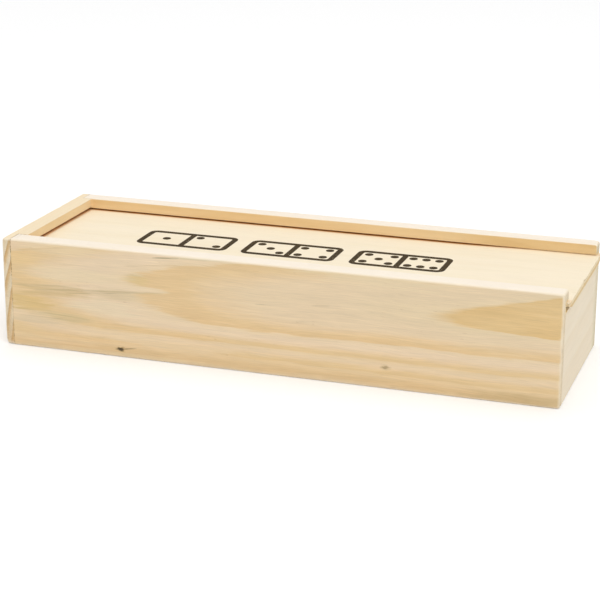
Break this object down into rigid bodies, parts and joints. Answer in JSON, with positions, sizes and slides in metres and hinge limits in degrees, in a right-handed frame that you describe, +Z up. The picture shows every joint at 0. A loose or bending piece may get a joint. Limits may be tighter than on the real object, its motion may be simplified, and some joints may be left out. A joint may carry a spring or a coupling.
{
  "type": "domino storage box",
  "caption": "Slim wooden box that stores a set of dominoes, with a thin lid that slides out lengthways in grooves over a low end board.",
  "frame": {"origin": "middle of the underside, half way along the length of the side boards with the end lap and half way across the width", "axes": "+X runs along the box to the end where the lid comes out, +Y to the back, +Z up from the surface it stands on"},
  "size_m": [0.1508, 0.0506, 0.0295],
  "materials": {
    "front_pine": "fine sanded, unvarnished",
    "back_pine": "fine sanded, unvarnished",
    "closed_end_pine": "fine sanded, unvarnished",
    "open_end_pine": "fine sanded, unvarnished",
    "panel_wood": "sanded thin panel, unvarnished",
    "lid_wood": "smooth sanded thin sheet, unvarnished",
    "print_ink": "matt dark brown ink with small worn flecks"
  },
  "bodies": {
    "box": {"front_board": "front_pine", "back_board": "back_pine", "closed_end_board": "closed_end_pine", "open_end_board": "open_end_pine", "bottom_panel": "panel_wood"},
    "lid": {"sliding_lid": "lid_wood", "lid_print": "print_ink"}
  },
  "joints": [
    {"name": "lid_slide", "type": "slide", "parent": "box", "child": "lid", "axis": [1, 0, 0], "range_m": [0, 0.15]}
  ]
}
